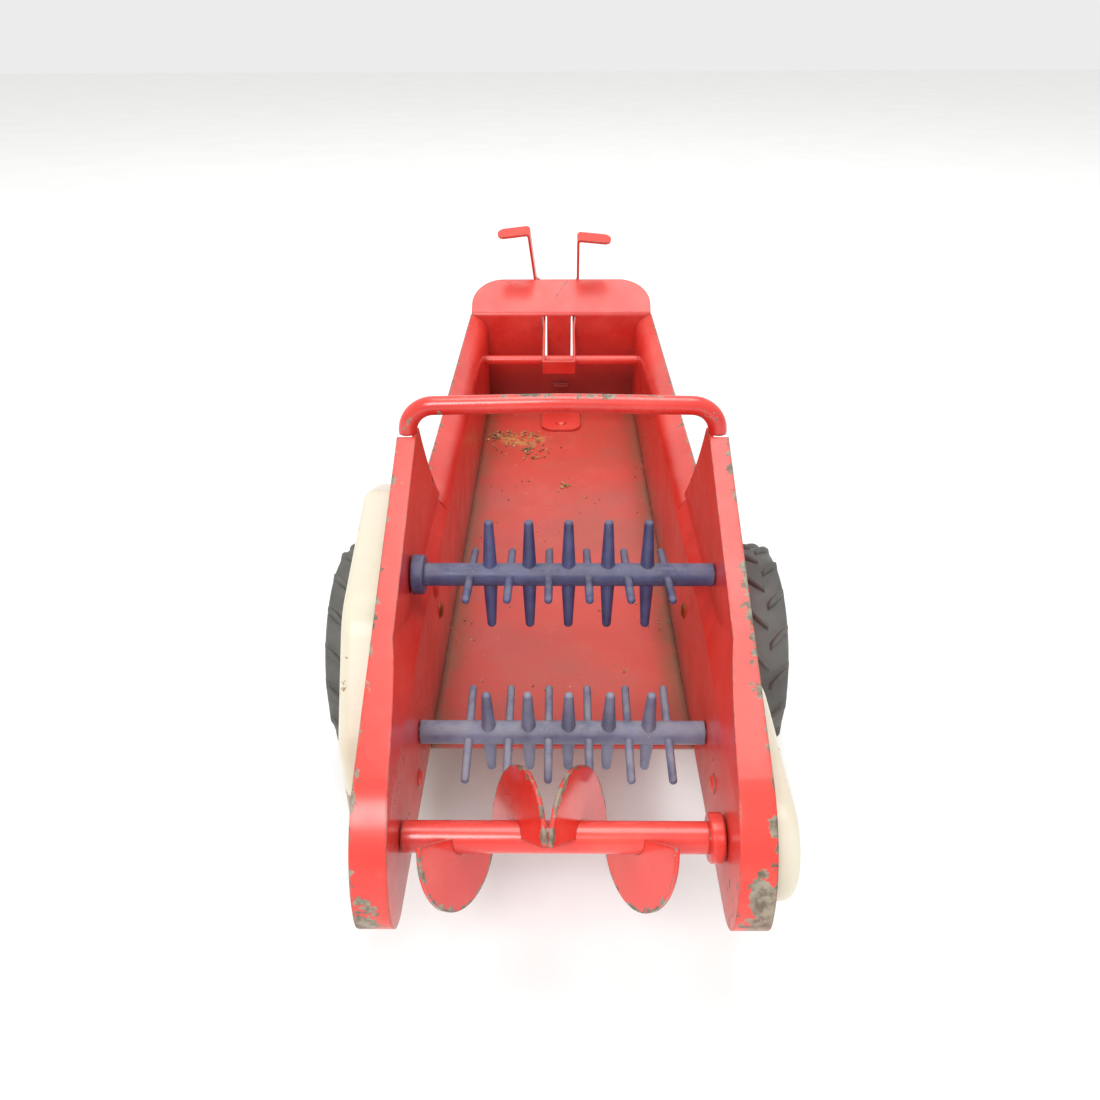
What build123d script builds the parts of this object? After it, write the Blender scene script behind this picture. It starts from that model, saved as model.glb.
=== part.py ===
from build123d import *
import os
from math import cos, radians, sin

# Toy manure spreader: a pressed-steel box on two rubber-tyred wheels, with two moulded beaters and a
# widespread auger at the back, driven from the axle by belts behind the side shields.
# +Y points forward (towards the hitch), +X to the right as seen from behind, +Z up.
# The origin is on the ground, under the middle of the overall length.

os.makedirs("parts", exist_ok=True)

# ---------------------------------------------------------------- sheet, rods and clearances
SHEET = 1.0                 # thickness of every pressed sheet
SHIELD_SHEET = 0.9
RUNNING = 0.05              # radial clearance of a shaft in its hole
RIVET_GAP = 0.1             # radial clearance of a rivet in its hole
SIDE_PLAY = 0.3             # end play of the beaters and the auger between the side panels
BELT_GAP = 0.05             # between a belt and its groove

# ---------------------------------------------------------------- wheels and axle
WHEEL_RADIUS = 30.0
TYRE_WIDTH = 12.0
RIM_RADIUS = 18.5
AXLE_RADIUS = 2.0
AXLE_Z = WHEEL_RADIUS
AXLE_HEADROOM = 1.0         # between the axle and the underside of the floor
HUB_RADIUS = 5.5
HUB_LENGTH = 9.0
DISH = 4.0                  # the wheel's middle is set in by this much from the tyre's outer face
CAP_RADIUS = 3.6
CAP_LENGTH = 3.0
CAP_END = 0.6               # the caps' closed ends

# ---------------------------------------------------------------- box
BOX_INNER_WIDTH = 64.6
BOX_LENGTH = 225.7          # floor, from its rear edge to the front panel
WALL_HEIGHT = 35.0          # from the floor up to the fold of the side flanges
FLANGE_OUT = 6.8            # the side flanges flare out by this much
FLANGE_UP = 4.5
FLANGE_BEND = 8.0           # radius of the side flanges' fold
FLOOR_LIP = 0.6             # downward lip at the floor's rear edge
HALF_WIDTH = BOX_INNER_WIDTH / 2
FLOOR_UNDER = AXLE_Z + AXLE_RADIUS + AXLE_HEADROOM
FLOOR_Z = FLOOR_UNDER + SHEET
FOLD_Z = FLOOR_Z + WALL_HEIGHT
RAIL_Z = FOLD_Z + FLANGE_UP
WALL_OUT = HALF_WIDTH + SHEET

# ---------------------------------------------------------------- lower beater, the reference for the rear
FLOOR_BEHIND = 11.0         # floor's rear edge, ahead of the lower beater
BEATER_ABOVE_FLOOR = 14.0
REAR_REACH = 45.0           # side panels, behind the lower beater
DRAWBAR_REACH = 67.6        # drawbar tip, ahead of the front panel
OVERALL_LENGTH = REAR_REACH + FLOOR_BEHIND + BOX_LENGTH + DRAWBAR_REACH
LOWER_Y = REAR_REACH - OVERALL_LENGTH / 2
LOWER_Z = FLOOR_Z + BEATER_ABOVE_FLOOR
FLOOR_REAR_Y = LOWER_Y + FLOOR_BEHIND
FRONT_Y = FLOOR_REAR_Y + BOX_LENGTH
AXLE_Y = LOWER_Y + 55.8
UPPER_Y = LOWER_Y + 21.0
UPPER_Z = LOWER_Z + 29.0
AUGER_Y = LOWER_Y - 28.8
AUGER_Z = LOWER_Z - 1.4

# ---------------------------------------------------------------- beaters
SHAFT_RADIUS = 1.5
TUBE_RADIUS = 2.65
TINE_REACH = 13.6
TINE_PITCH = 9.0
TINE_OFFSET = 1.4           # the tines sit a little to the right of the middle
LARGE_ROOT_RADIUS = 1.75
LARGE_TIP_RADIUS = 1.05
PEG_RADIUS = 1.0
PEG_TIP_RADIUS = 0.9
UPPER_COLLAR_RADIUS = 4.6
UPPER_COLLAR_WIDTH = 3.0
UPPER_TINE_LEAN = -7.0      # degrees from upright, at rest
LOWER_TINE_LEAN = 10.0

# ---------------------------------------------------------------- auger
AUGER_TUBE_RADIUS = 3.2
AUGER_COLLAR_RADIUS = 5.0
AUGER_COLLAR_WIDTH = 3.0
FLIGHT_RADIUS = 14.1
FLIGHT_SHEET = 0.9
INNER_FLIGHT = 11.5         # length of each inner half-turn along the tube
OUTER_FLIGHT = 12.0
FLIGHT_MIDDLE = -2.8        # where the two hands meet
FLIGHT_ROLL = 41.0          # degrees: the flights' rest attitude about the tube

# ---------------------------------------------------------------- side panels
EXTENSION_STEP = 2.5        # the extension stands out from the wall by this much
STEP_HEIGHT = 4.0
PANEL_TOP = 53.5            # above the lower beater
PANEL_TOP_REAR = 43.1       # ahead of the lower beater
PANEL_TOP_FRONT = 48.6
JUNCTION = 75.0             # front end of the extension, ahead of the lower beater
REAR_FLANGE = 7.0           # width of the flange round the rear edge
STEP_SPREAD_Y = 12.0        # behind this, from the lower beater, the step spreads and dies away
STEP_SPREAD_LOW = 6.5       # at the rear end, the step starts lower by this much
STEP_SPREAD_TOP = 25.5      # and ends higher by this much
OVERLAP = 5.0               # the box wall runs this far into the extension
REAR_CORNER_Z = 11.0
REAR_CORNER_RADIUS = 24.0
TIP_RADIUS = 9.0
TIP_CORNER = 6.0            # the flange's lower outer corner, seen from behind
TIP_DROP = 14.4             # bottom edge of the rear tip, below the lower beater
EXT_IN = HALF_WIDTH + EXTENSION_STEP
EXT_OUT = EXT_IN + SHEET
REAR_FLANGE_X = HALF_WIDTH + REAR_FLANGE
STEP_LOW = FOLD_Z - 2.5
STEP_TOP = STEP_LOW + STEP_HEIGHT
TOP_Z = LOWER_Z + PANEL_TOP
AXLE_RIVET = (42.7, 3.7)    # rivet of each axle plate, from the lower beater
LEFT_POSTS = [(38.2, 13.2), (-6.5, -8.0)]       # rivets of the left shield, from the lower beater
RIGHT_POSTS = [(-14.2, -1.4)]                   # rivet of the right shield
PANEL_HOLE = (63.5, 31.5)   # small spare hole
PANEL_HOLE_RADIUS = 0.75
PLATE_BOSS = 7.0            # axle plate, round the axle

# ---------------------------------------------------------------- arch rod
ARCH_RADIUS = 2.25
ARCH_X = EXT_OUT + 1.2      # the posts stand on the panels' top corners
ARCH_RISE = 61.0            # middle of the rod, above the lower beater
ARCH_CROWN = 0.8
ARCH_BEND = 6.6
ARCH_Y = LOWER_Y + (PANEL_TOP_REAR + PANEL_TOP_FRONT) / 2

# ---------------------------------------------------------------- drive, behind the shields
LEFT_SHIELD_DEPTH = 11.7    # from an extension panel to a shield's outer face
RIGHT_SHIELD_DEPTH = 9.2
LEFT_WHEEL_GAP = 2.9        # from the left shield to the tyre
RIGHT_WHEEL_GAP = 11.7      # from the right extension panel to the tyre
SHIELD_GAP = 1.2            # between an extension panel and the rim of a shield
PULLEY_WIDTH = 3.0
PULLEY_GAP = 0.4
GROOVE_WIDTH = 1.6
GROOVE_DEPTH = 1.3
BELT_THICK = 1.2
LEFT_OUTLINE = [            # corners of the left shield, from the lower beater
    (37, 42.5), (3, 31.0), (-14.2, 8), (-14.2, -21.0),
    (48, -33), (72, -26), (74, -8), (50, 38),
]
LEFT_CORNERS = [4.5, 16, 8, 6, 12, 10, 14, 8]
RIGHT_REAR_RADIUS = 11.8    # right shield, round the auger's shaft
RIGHT_FRONT_RADIUS = 12.2   # and round the lower beater's
BELT_WIDTH = GROOVE_WIDTH - 2 * RIVET_GAP
LEFT_SHIELD_OUT = EXT_OUT + LEFT_SHIELD_DEPTH
RIGHT_SHIELD_OUT = EXT_OUT + RIGHT_SHIELD_DEPTH
LEFT_TYRE_OUT = LEFT_SHIELD_OUT + LEFT_WHEEL_GAP + TYRE_WIDTH
RIGHT_TYRE_OUT = EXT_OUT + RIGHT_WHEEL_GAP + TYRE_WIDTH
SMALL_PULLEY = 4.6
AXLE_PULLEY = 2 * (SMALL_PULLEY - GROOVE_DEPTH) + GROOVE_DEPTH   # twice the groove radius: ratio 2
RELAY_X = EXT_OUT + 1.5 + PULLEY_WIDTH / 2                        # beater belt, next to the panel
DRIVE_X = RELAY_X + PULLEY_WIDTH + PULLEY_GAP                     # wheel belt

# ---------------------------------------------------------------- control levers and cross bar
BAR_RADIUS = 1.9
BAR_HEAD = 1.2
BAR_BEHIND = 19.7           # cross bar, behind the front panel
BAR_UP = 11.3               # above the lower beater
BAR_Y = FRONT_Y - BAR_BEHIND
BAR_Z = LOWER_Z + BAR_UP
LEVER_TILT = 20.0           # degrees, at rest
LEVER_SHEET = 1.0
LEVER_WIDTH = 6.5
LEVER_MIDDLE = -0.95        # the bracket sits a little to the left
LEVER_X = 6.45              # middle of each arm, from the bracket's middle
LEVER_REACH = 46.0          # from the bar to the uprights
LEVER_TAIL = 5.2
SLOT_WIDTH = 1.8
SLOT_INSET = 0.3            # each slot is nearer the middle than its arm
SLOT_LOW = -6.4             # slot ends, above the cross bar
SLOT_HIGH = 13.2
LEVER_BENDS = {             # bends of each upright, as X and the height above its arm
    -1: [(-10.9, 7.5), (-13.6, 33.1), (-27.4, 31.3)],
    1: [(7.0, 6.8), (6.9, 30.2), (21.6, 28.6)],
}

# ---------------------------------------------------------------- front panel, drawbar and stand
LEDGE_WIDTH = 6.6           # small ledge low on the front panel
LEDGE_HEIGHT = 1.4
BOARD_LENGTH = 19.0         # sloping board above the front panel
BOARD_SLOPE = 34.0
BOARD_CORNER = 13.6
STRAP_SHEET = 1.2
STRAP_WIDTH = 16.6
STRAP_INSIDE = 37.3         # length of the strap on the floor
HITCH_Z = 20.0
HITCH_HOLE_RADIUS = 2.5
STRAP_LIP = 3.0
FLOOR_RIVET_Y = FRONT_Y - STRAP_INSIDE + 6.3
RIVET_RADIUS = 1.2
RIVET_HEAD_RADIUS = 2.3
RIVET_HEAD = 0.8


def save(builder, label):
    """Names the finished piece and writes its file."""
    builder.part.label = label
    export_step(builder.part, f"parts/{label}.step")


def rear(points):
    """Turns points given from the lower beater's axis into (Y, Z) points of the model."""
    return [(LOWER_Y + y, LOWER_Z + z) for y, z in points]


def disc(x_from, x_to, y, z, radius, mode=Mode.ADD):
    """Adds (or cuts) a round disc along X in the current part."""
    with Locations(((x_from + x_to) / 2, y, z)):
        Cylinder(radius, abs(x_to - x_from), rotation=(0, 90, 0), mode=mode)


def rivet(x_from, x_to, y, z):
    """Adds a rivet along X to the current part: a shank between two low heads."""
    x_low = min(x_from, x_to)
    x_high = max(x_from, x_to)
    disc(x_low, x_high, y, z, RIVET_RADIUS)
    with Locations((x_high + RIVET_HEAD / 2, y, z)):
        Cone(RIVET_HEAD_RADIUS, RIVET_RADIUS, RIVET_HEAD, rotation=(0, 90, 0))
    with Locations((x_low - RIVET_HEAD / 2, y, z)):
        Cone(RIVET_HEAD_RADIUS, RIVET_RADIUS, RIVET_HEAD, rotation=(0, -90, 0))


def upright_rivet(x, y, z_low, z_high):
    """Adds an upright rivet to the current part."""
    with Locations((x, y, (z_low + z_high) / 2)):
        Cylinder(RIVET_RADIUS, z_high - z_low)
    with Locations((x, y, z_high + RIVET_HEAD / 2)):
        Cone(RIVET_HEAD_RADIUS, RIVET_RADIUS, RIVET_HEAD)
    with Locations((x, y, z_low - RIVET_HEAD / 2)):
        Cone(RIVET_RADIUS, RIVET_HEAD_RADIUS, RIVET_HEAD)


def rod(label, x_from, x_to, y, z, radius):
    """A plain round rod along X with slightly broken ends, as a piece of its own."""
    with BuildPart() as piece:
        disc(x_from, x_to, y, z, radius)
        chamfer(piece.edges().filter_by(GeomType.CIRCLE), radius * 0.15)
    save(piece, label)


# ================================================================ floor
with BuildPart() as floor_pan:
    with BuildSketch(Plane.YZ.offset(-HALF_WIDTH)):
        with BuildLine():
            FilletPolyline(
                (FLOOR_REAR_Y, FLOOR_UNDER - FLOOR_LIP), (FLOOR_REAR_Y, FLOOR_Z), (FRONT_Y, FLOOR_Z),
                radius=1.5,
            )
            offset(amount=SHEET, side=Side.RIGHT)
        make_face()
    extrude(amount=BOX_INNER_WIDTH)
    with BuildSketch(Plane.XY.offset(FLOOR_UNDER)):
        with Locations((0, FLOOR_RIVET_Y)):
            Circle(RIVET_RADIUS + RIVET_GAP)
    extrude(amount=SHEET, mode=Mode.SUBTRACT)
save(floor_pan, "floor_pan")

# ================================================================ side panels


def rear_edge():
    """The rear edge of a side panel, from the top down round the tip."""
    return FilletPolyline(
        *rear([
            (PANEL_TOP_REAR, PANEL_TOP), (-REAR_REACH, REAR_CORNER_Z),
            (-REAR_REACH, -TIP_DROP), (-REAR_REACH + TIP_RADIUS + 3, -TIP_DROP),
        ]),
        radius=[REAR_CORNER_RADIUS, TIP_RADIUS],
    )


def step_heights(y):
    """Heights between which a side panel steps outward, at y from the lower beater."""
    spread = min(1, max(0, (STEP_SPREAD_Y - y) / (STEP_SPREAD_Y + REAR_REACH)))
    return STEP_LOW - spread * STEP_SPREAD_LOW, STEP_TOP + spread * STEP_SPREAD_TOP


for name, side in (("left", -1), ("right", 1)):
    low = FLOOR_UNDER
    junction_y = LOWER_Y + JUNCTION
    with BuildPart() as side_panel:
        # stepped sheet of the rear half, trimmed to the panel's outline
        for y in (JUNCTION, STEP_SPREAD_Y, -REAR_REACH):
            step_low, step_top = step_heights(y)
            with BuildSketch(Plane.XZ.offset(-LOWER_Y - y)):
                with BuildLine():
                    Polyline(
                        (side * HALF_WIDTH, low), (side * HALF_WIDTH, step_low),
                        (side * EXT_IN, step_top), (side * EXT_IN, TOP_Z),
                        (side * EXT_OUT, TOP_Z), (side * EXT_OUT, step_top - 0.3),
                        (side * WALL_OUT, step_low - 0.3), (side * WALL_OUT, low),
                        close=True,
                    )
                make_face()
        loft(ruled=True)
        with BuildSketch(Plane.YZ):
            with BuildLine():
                edge = rear_edge()
                Polyline(
                    edge @ 1, (FLOOR_REAR_Y, low), (junction_y, low), (junction_y, STEP_TOP - 1),
                )
                ThreePointArc(
                    (junction_y, STEP_TOP - 1), (LOWER_Y + 60.5, LOWER_Z + 36.5),
                    (LOWER_Y + PANEL_TOP_FRONT, TOP_Z),
                )
                Line((LOWER_Y + PANEL_TOP_FRONT, TOP_Z), edge @ 0)
            make_face()
        extrude(amount=REAR_FLANGE_X * 1.5, both=True, mode=Mode.INTERSECT)
        # flange round the rear edge
        with BuildSketch(Plane.YZ.offset(side * HALF_WIDTH)):
            with BuildLine():
                rear_edge()
                offset(amount=SHEET, side=Side.LEFT)
            make_face()
        extrude(amount=side * (REAR_FLANGE_X - HALF_WIDTH))
        for y in (JUNCTION, STEP_SPREAD_Y, -REAR_REACH):
            step_low, step_top = step_heights(y)
            with BuildSketch(Plane.XZ.offset(-LOWER_Y - y)):
                with BuildLine():
                    Polyline(
                        (0, low - 5), (side * HALF_WIDTH, low - 5), (side * HALF_WIDTH, step_low),
                        (side * EXT_IN, step_top), (side * EXT_IN, TOP_Z + 5), (0, TOP_Z + 5),
                        close=True,
                    )
                make_face()
        loft(ruled=True, mode=Mode.SUBTRACT)
        # round the lower outer corner of the flange
        corner_x = side * (REAR_FLANGE_X - TIP_CORNER)
        corner_z = LOWER_Z - TIP_DROP + TIP_CORNER
        with BuildSketch(Plane.XZ.offset(-LOWER_Y + REAR_REACH + 1)):
            with Locations((corner_x + side * TIP_CORNER, corner_z - TIP_CORNER)):
                Rectangle(2 * TIP_CORNER, 2 * TIP_CORNER)
            with Locations((corner_x, corner_z)):
                Circle(TIP_CORNER, mode=Mode.SUBTRACT)
        extrude(amount=-(TIP_RADIUS + 8), mode=Mode.SUBTRACT)
        # box wall with its flared flange, from the extension to the front panel
        with BuildSketch(Plane.XZ.offset(-junction_y + OVERLAP)):
            with BuildLine():
                FilletPolyline(
                    (side * HALF_WIDTH, low), (side * HALF_WIDTH, FOLD_Z),
                    (side * (HALF_WIDTH + FLANGE_OUT), RAIL_Z),
                    radius=FLANGE_BEND,
                )
                offset(amount=SHEET, side=Side.RIGHT if side > 0 else Side.LEFT)
            make_face()
        extrude(amount=-(FRONT_Y - junction_y + OVERLAP))
        # holes for the shafts, the cross bar and the rivets
        posts = LEFT_POSTS if side < 0 else RIGHT_POSTS
        with BuildSketch(Plane.YZ):
            with Locations((LOWER_Y, LOWER_Z), (UPPER_Y, UPPER_Z), (AUGER_Y, AUGER_Z)):
                Circle(SHAFT_RADIUS + RUNNING)
            with Locations((BAR_Y, BAR_Z)):
                Circle(BAR_RADIUS)
            with Locations(*rear(posts + [AXLE_RIVET])):
                Circle(RIVET_RADIUS + RIVET_GAP)
            with Locations(*rear([PANEL_HOLE])):
                Circle(PANEL_HOLE_RADIUS)
        extrude(amount=side * REAR_FLANGE_X * 1.5, mode=Mode.SUBTRACT)
    save(side_panel, f"{name}_side_panel")

# ================================================================ front panel
board_y = FRONT_Y + BOARD_LENGTH * cos(radians(BOARD_SLOPE))
board_z = RAIL_Z + BOARD_LENGTH * sin(radians(BOARD_SLOPE))
board_half = HALF_WIDTH + FLANGE_OUT
slot_z = BAR_Z + (SLOT_LOW + SLOT_HIGH) / 2
with BuildPart() as front_panel:
    with BuildSketch(Plane.YZ.offset(-board_half)):
        with BuildLine():
            FilletPolyline(
                (FRONT_Y, FLOOR_UNDER), (FRONT_Y, RAIL_Z), (board_y, board_z), radius=2.5,
            )
            offset(amount=SHEET, side=Side.RIGHT)
        make_face()
    extrude(amount=2 * board_half)
    with BuildSketch(Plane.XZ.offset(-FRONT_Y + 2)):
        with BuildLine():
            Polyline(
                (-WALL_OUT, FLOOR_UNDER), (-WALL_OUT, FOLD_Z - 0.5), (-board_half, RAIL_Z),
                (-board_half, board_z + 2), (board_half, board_z + 2), (board_half, RAIL_Z),
                (WALL_OUT, FOLD_Z - 0.5), (WALL_OUT, FLOOR_UNDER),
                close=True,
            )
        make_face()
    extrude(amount=-(BOARD_LENGTH + 6), mode=Mode.INTERSECT)
    top_corners = front_panel.faces().sort_by(Axis.Y)[-1].edges().filter_by(Axis.X, reverse=True)
    fillet(top_corners, BOARD_CORNER)
    with BuildSketch(Plane.XZ.offset(-FRONT_Y)):
        slot_x = LEVER_X - SLOT_INSET
        with Locations((LEVER_MIDDLE - slot_x, slot_z), (LEVER_MIDDLE + slot_x, slot_z)):
            SlotOverall(SLOT_HIGH - SLOT_LOW, SLOT_WIDTH, rotation=90)
        with Locations((0, FLOOR_Z + STRAP_SHEET / 2 + 0.15)):
            Rectangle(STRAP_WIDTH + 0.6, STRAP_SHEET + 0.3)
    extrude(amount=-SHEET, mode=Mode.SUBTRACT)
    with BuildSketch(Plane.XZ.offset(-FRONT_Y - SHEET)):
        with Locations((0, FLOOR_Z + 6.6)):
            Rectangle(LEDGE_WIDTH, LEDGE_HEIGHT)
    extrude(amount=SHEET + 2.4)
save(front_panel, "front_panel")

# ================================================================ arch rod
with BuildPart() as arch_rod:
    with BuildLine(Plane.XZ.offset(-ARCH_Y)) as arch_path:
        FilletPolyline(
            (-ARCH_X, TOP_Z), (-ARCH_X, LOWER_Z + ARCH_RISE - ARCH_CROWN), (0, LOWER_Z + ARCH_RISE),
            (ARCH_X, LOWER_Z + ARCH_RISE - ARCH_CROWN), (ARCH_X, TOP_Z),
            radius=[ARCH_BEND, 300, ARCH_BEND],
        )
    with BuildSketch(Plane.XY.offset(TOP_Z)):
        with Locations((-ARCH_X, ARCH_Y)):
            Circle(ARCH_RADIUS)
    sweep(path=arch_path.line)
save(arch_rod, "arch_rod")

# ================================================================ cross bar
with BuildPart() as cross_bar:
    with BuildSketch(Plane.YZ.offset(-WALL_OUT)):
        with Locations((BAR_Y, BAR_Z)):
            Circle(BAR_RADIUS)
    extrude(amount=2 * WALL_OUT)
    for x_from in (-WALL_OUT - BAR_HEAD, WALL_OUT):
        with BuildSketch(Plane.YZ.offset(x_from)):
            with Locations((BAR_Y, BAR_Z)):
                Circle(BAR_RADIUS + 0.8)
        extrude(amount=BAR_HEAD)
    ends = cross_bar.faces().sort_by(Axis.X)
    chamfer(ends[0].edges() + ends[-1].edges(), 0.5)
save(cross_bar, "cross_bar")

# ================================================================ control levers
# One strip: two arms that turn on the cross bar, joined behind it, reach out through the slots and
# end in uprights with a thumb tab each. Local x runs along the arms and local y is square to them.
lever_plane = Plane(
    origin=(0, BAR_Y, BAR_Z),
    x_dir=(0, cos(radians(LEVER_TILT)), sin(radians(LEVER_TILT))),
    z_dir=(1, 0, 0),
)
along = lever_plane.x_dir
cross_plane = Plane(
    origin=lever_plane.origin + along * (LEVER_REACH - LEVER_WIDTH / 2), x_dir=(-1, 0, 0), z_dir=along,
)
arm_in = LEVER_X - LEVER_SHEET / 2
with BuildPart() as control_levers:
    for side in (-1, 1):
        with BuildSketch(lever_plane.offset(LEVER_MIDDLE + side * LEVER_X - LEVER_SHEET / 2)):
            with BuildLine():
                Polyline(
                    (-LEVER_TAIL, -LEVER_WIDTH / 2), (LEVER_REACH + LEVER_WIDTH / 2, -LEVER_WIDTH / 2),
                    (LEVER_REACH + LEVER_WIDTH / 2, LEVER_WIDTH / 2), (-LEVER_TAIL, LEVER_WIDTH / 2),
                    close=True,
                )
            make_face()
            Circle(BAR_RADIUS + RUNNING, mode=Mode.SUBTRACT)
        extrude(amount=LEVER_SHEET)
        # local x of the cross plane is -X
        inner_x = LEVER_MIDDLE + side * arm_in
        with BuildSketch(cross_plane):
            with BuildLine():
                FilletPolyline(
                    (-inner_x, -LEVER_WIDTH / 2), (-inner_x, LEVER_WIDTH / 2 + 0.5),
                    *[(-x, up) for x, up in LEVER_BENDS[side]],
                    radius=[1.5, 1.5, 1.6],
                )
                offset(amount=LEVER_SHEET, side=Side.RIGHT if side < 0 else Side.LEFT)
            make_face()
        extrude(amount=LEVER_WIDTH)
    with BuildSketch(lever_plane.offset(LEVER_MIDDLE - arm_in)):
        with Locations((-LEVER_TAIL + LEVER_SHEET / 2, 0)):
            Rectangle(LEVER_SHEET, LEVER_WIDTH)
    extrude(amount=2 * arm_in)
    tab_ends = control_levers.edges().filter_by(GeomType.LINE)
    left_tab = tab_ends.sort_by(Axis.X)[:4].filter_by(lambda e: e.length < 1.5 * LEVER_SHEET)
    right_tab = tab_ends.sort_by(Axis.X)[-4:].filter_by(lambda e: e.length < 1.5 * LEVER_SHEET)
    fillet(left_tab + right_tab, LEVER_WIDTH / 2 - 0.3)
save(control_levers, "control_levers")

# ================================================================ drawbar, stand and their rivets
TIP_Y = FRONT_Y + DRAWBAR_REACH
HITCH_Y = TIP_Y - STRAP_WIDTH / 2
STAND_Y = HITCH_Y - 22.0
STAND_WIDTH = 8.0
slope_y = FRONT_Y + 26.0
with BuildPart() as drawbar:
    with BuildSketch(Plane.YZ.offset(-STRAP_WIDTH / 2)):
        with BuildLine():
            FilletPolyline(
                (FRONT_Y - STRAP_INSIDE, FLOOR_Z), (FRONT_Y + 6, FLOOR_Z), (slope_y, HITCH_Z),
                (TIP_Y, HITCH_Z),
                radius=[5.0, 8.0],
            )
            offset(amount=STRAP_SHEET, side=Side.LEFT)
        make_face()
    extrude(amount=STRAP_WIDTH)
    end_edges = drawbar.edges().filter_by(Axis.Z).group_by(Axis.Y)
    fillet(end_edges[0], STRAP_WIDTH * 0.3)
    fillet(drawbar.edges().filter_by(Axis.Z).group_by(Axis.Y)[-1], STRAP_WIDTH / 2 - 0.05)
    # stiffening lips along the outer part
    for side in (-1, 1):
        with BuildSketch(Plane.YZ.offset(side * STRAP_WIDTH / 2)):
            with BuildLine():
                FilletPolyline(
                    (FRONT_Y + 8.5, FLOOR_Z - (FLOOR_Z - HITCH_Z) * 2.5 / 20), (slope_y, HITCH_Z),
                    (HITCH_Y - 4, HITCH_Z),
                    radius=8.0,
                )
                offset(amount=STRAP_LIP, side=Side.RIGHT)
            make_face()
        extrude(amount=-side * STRAP_SHEET)
    with BuildSketch(Plane.XY.offset(HITCH_Z)):
        with Locations((0, HITCH_Y)):
            Circle(HITCH_HOLE_RADIUS)
        with Locations((0, STAND_Y)):
            Circle(RIVET_RADIUS + RIVET_GAP)
    extrude(amount=2 * STRAP_SHEET, mode=Mode.SUBTRACT)
    with BuildSketch(Plane.XY.offset(FLOOR_Z - 1)):
        with Locations((0, FLOOR_RIVET_Y)):
            Circle(RIVET_RADIUS + RIVET_GAP)
    extrude(amount=2 * STRAP_SHEET + 1, mode=Mode.SUBTRACT)
save(drawbar, "drawbar")

with BuildPart() as drawbar_stand:
    with BuildSketch(Plane.XZ.offset(-STAND_Y - STAND_WIDTH / 2)):
        with BuildLine():
            FilletPolyline(
                (-14, 0), (-9, 0), (-5, HITCH_Z - SHEET), (5, HITCH_Z - SHEET), (9, 0), (14, 0),
                radius=1.4,
            )
            offset(amount=SHEET, side=Side.LEFT)
        make_face()
    extrude(amount=STAND_WIDTH)
    with BuildSketch(Plane.XY.offset(HITCH_Z - 2 * SHEET)):
        with Locations((0, STAND_Y)):
            Circle(RIVET_RADIUS + RIVET_GAP)
    extrude(amount=3 * SHEET, mode=Mode.SUBTRACT)
save(drawbar_stand, "drawbar_stand")

with BuildPart() as drawbar_rivets:
    upright_rivet(0, FLOOR_RIVET_Y, FLOOR_UNDER, FLOOR_Z + STRAP_SHEET)
    upright_rivet(0, STAND_Y, HITCH_Z - SHEET, HITCH_Z + STRAP_SHEET)
save(drawbar_rivets, "drawbar_rivets")


# ================================================================ beaters
def tine(origin, lean, root_radius, tip_radius):
    """Adds one tapered tine with a rounded tip; lean turns it about X from straight up."""
    with Locations(Location(origin, (lean, 0, 0))):
        with Locations((0, 0, (TINE_REACH - tip_radius) / 2)):
            Cone(root_radius, tip_radius, TINE_REACH - tip_radius)
        with Locations((0, 0, TINE_REACH - tip_radius)):
            Sphere(tip_radius)


BEATERS = (
    ("upper_beater", UPPER_Y, UPPER_Z, EXT_IN - SIDE_PLAY, UPPER_TINE_LEAN),
    ("lower_beater", LOWER_Y, LOWER_Z, HALF_WIDTH - SIDE_PLAY, LOWER_TINE_LEAN),
)
for name, y, z, half, lean in BEATERS:
    with BuildPart() as beater:
        if name == "upper_beater":
            disc(-half, -half + UPPER_COLLAR_WIDTH, y, z, UPPER_COLLAR_RADIUS)
            fillet(beater.edges().filter_by(GeomType.CIRCLE), 0.6)
        disc(-half, half, y, z, TUBE_RADIUS)
        for turn in (0, 180):
            for i in range(-2, 3):
                x = TINE_OFFSET + i * TINE_PITCH
                tine((x, y, z), lean + turn, LARGE_ROOT_RADIUS, LARGE_TIP_RADIUS)
            for i in range(-3, 3):
                x = TINE_OFFSET + (i + 0.5) * TINE_PITCH
                tine((x, y, z), lean + turn + 90, PEG_RADIUS, PEG_TIP_RADIUS)
        disc(-half, half, y, z, SHAFT_RADIUS, Mode.SUBTRACT)
    save(beater, name)

LEFT_SHAFT_END = DRIVE_X + PULLEY_WIDTH / 2 + 1.2
RIGHT_BELT_X = EXT_OUT + 1.5 + PULLEY_WIDTH / 2
RIGHT_SHAFT_END = RIGHT_BELT_X + PULLEY_WIDTH / 2 + 1.2
UPPER_SHAFT_END = RELAY_X + PULLEY_WIDTH / 2 + 1.2
rod("upper_beater_shaft", -UPPER_SHAFT_END, EXT_OUT + 1.4, UPPER_Y, UPPER_Z, SHAFT_RADIUS)
rod("lower_beater_shaft", -LEFT_SHAFT_END, RIGHT_SHAFT_END, LOWER_Y, LOWER_Z, SHAFT_RADIUS)
rod("auger_shaft", -(WALL_OUT + 1.4), RIGHT_SHAFT_END, AUGER_Y, AUGER_Z, SHAFT_RADIUS)

# ================================================================ auger
auger_half = HALF_WIDTH - SIDE_PLAY
with BuildPart() as auger_tube:
    disc(-auger_half, auger_half - AUGER_COLLAR_WIDTH, AUGER_Y, AUGER_Z, AUGER_TUBE_RADIUS)
    disc(-auger_half, auger_half, AUGER_Y, AUGER_Z, SHAFT_RADIUS, Mode.SUBTRACT)
save(auger_tube, "auger_tube")

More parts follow.
